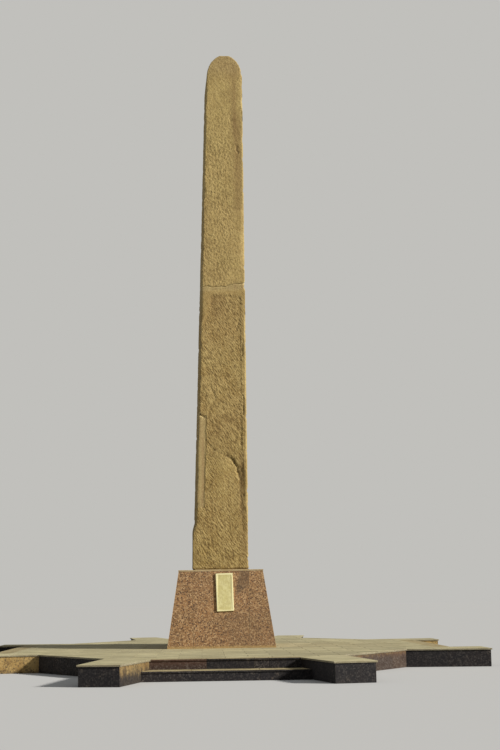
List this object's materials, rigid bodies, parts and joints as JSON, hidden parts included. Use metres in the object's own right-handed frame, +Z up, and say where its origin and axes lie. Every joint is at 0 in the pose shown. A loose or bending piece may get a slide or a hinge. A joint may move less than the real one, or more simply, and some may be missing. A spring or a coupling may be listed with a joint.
{
  "type": "stone obelisk with a rounded head on a battered pedestal and stepped terrace",
  "caption": "Weathered granite obelisk with a rounded head on a battered pedestal, standing on a stepped terrace with splayed cheek walls.",
  "frame": {"origin": "on the ground under the middle of the pedestal, at the middle of the terrace's underside", "axes": "+Z up, -Y towards the front with its stair and plaque, +X to the right of someone who faces the front"},
  "size_m": [11.41, 19.3676, 14.885],
  "materials": {
    "wall_granite": "honed brown-black granite",
    "paving_stone": "worn pale stone slabs",
    "core_masonry": "rough concrete and rubble",
    "pedestal_granite": "speckled reddish-brown granite",
    "cap_stone": "pale weathered stone",
    "plaque_marble": "cream marble, bare",
    "shaft_granite": "rough weathered tan-pink granite",
    "repair_mortar": "smooth ochre mortar"
  },
  "bodies": {
    "root": {"back_left_cheek_coping": "paving_stone", "back_left_cheek_wall": "wall_granite", "back_left_flank_wall": "wall_granite", "back_left_wing_coping": "paving_stone", "back_left_wing_wall": "wall_granite", "back_lower_step": "wall_granite", "back_paving": "paving_stone", "back_right_cheek_coping": "paving_stone", "back_right_cheek_wall": "wall_granite", "back_right_flank_wall": "wall_granite", "back_right_wing_coping": "paving_stone", "back_right_wing_wall": "wall_granite", "back_upper_step": "wall_granite", "front_left_cheek_coping": "paving_stone", "front_left_cheek_wall": "wall_granite", "front_left_flank_wall": "wall_granite", "front_left_wing_coping": "paving_stone", "front_left_wing_wall": "wall_granite", "front_lower_step": "wall_granite", "front_paving": "paving_stone", "front_plaque": "plaque_marble", "front_right_cheek_coping": "paving_stone", "front_right_cheek_wall": "wall_granite", "front_right_flank_wall": "wall_granite", "front_right_wing_coping": "paving_stone", "front_right_wing_wall": "wall_granite", "front_upper_step": "wall_granite", "left_lower_step": "wall_granite", "left_paving": "paving_stone", "left_upper_step": "wall_granite", "pedestal_back_cladding": "pedestal_granite", "pedestal_cap": "cap_stone", "pedestal_core": "core_masonry", "pedestal_front_cladding": "pedestal_granite", "pedestal_left_cladding": "pedestal_granite", "pedestal_right_cladding": "pedestal_granite", "right_lower_step": "wall_granite", "right_paving": "paving_stone", "right_upper_step": "wall_granite", "shaft_bed": "repair_mortar", "shaft_break_mortar": "repair_mortar", "shaft_edge_repair": "repair_mortar", "shaft_lower_block": "shaft_granite", "shaft_upper_block": "shaft_granite", "terrace_core": "core_masonry"}
  },
  "joints": []
}
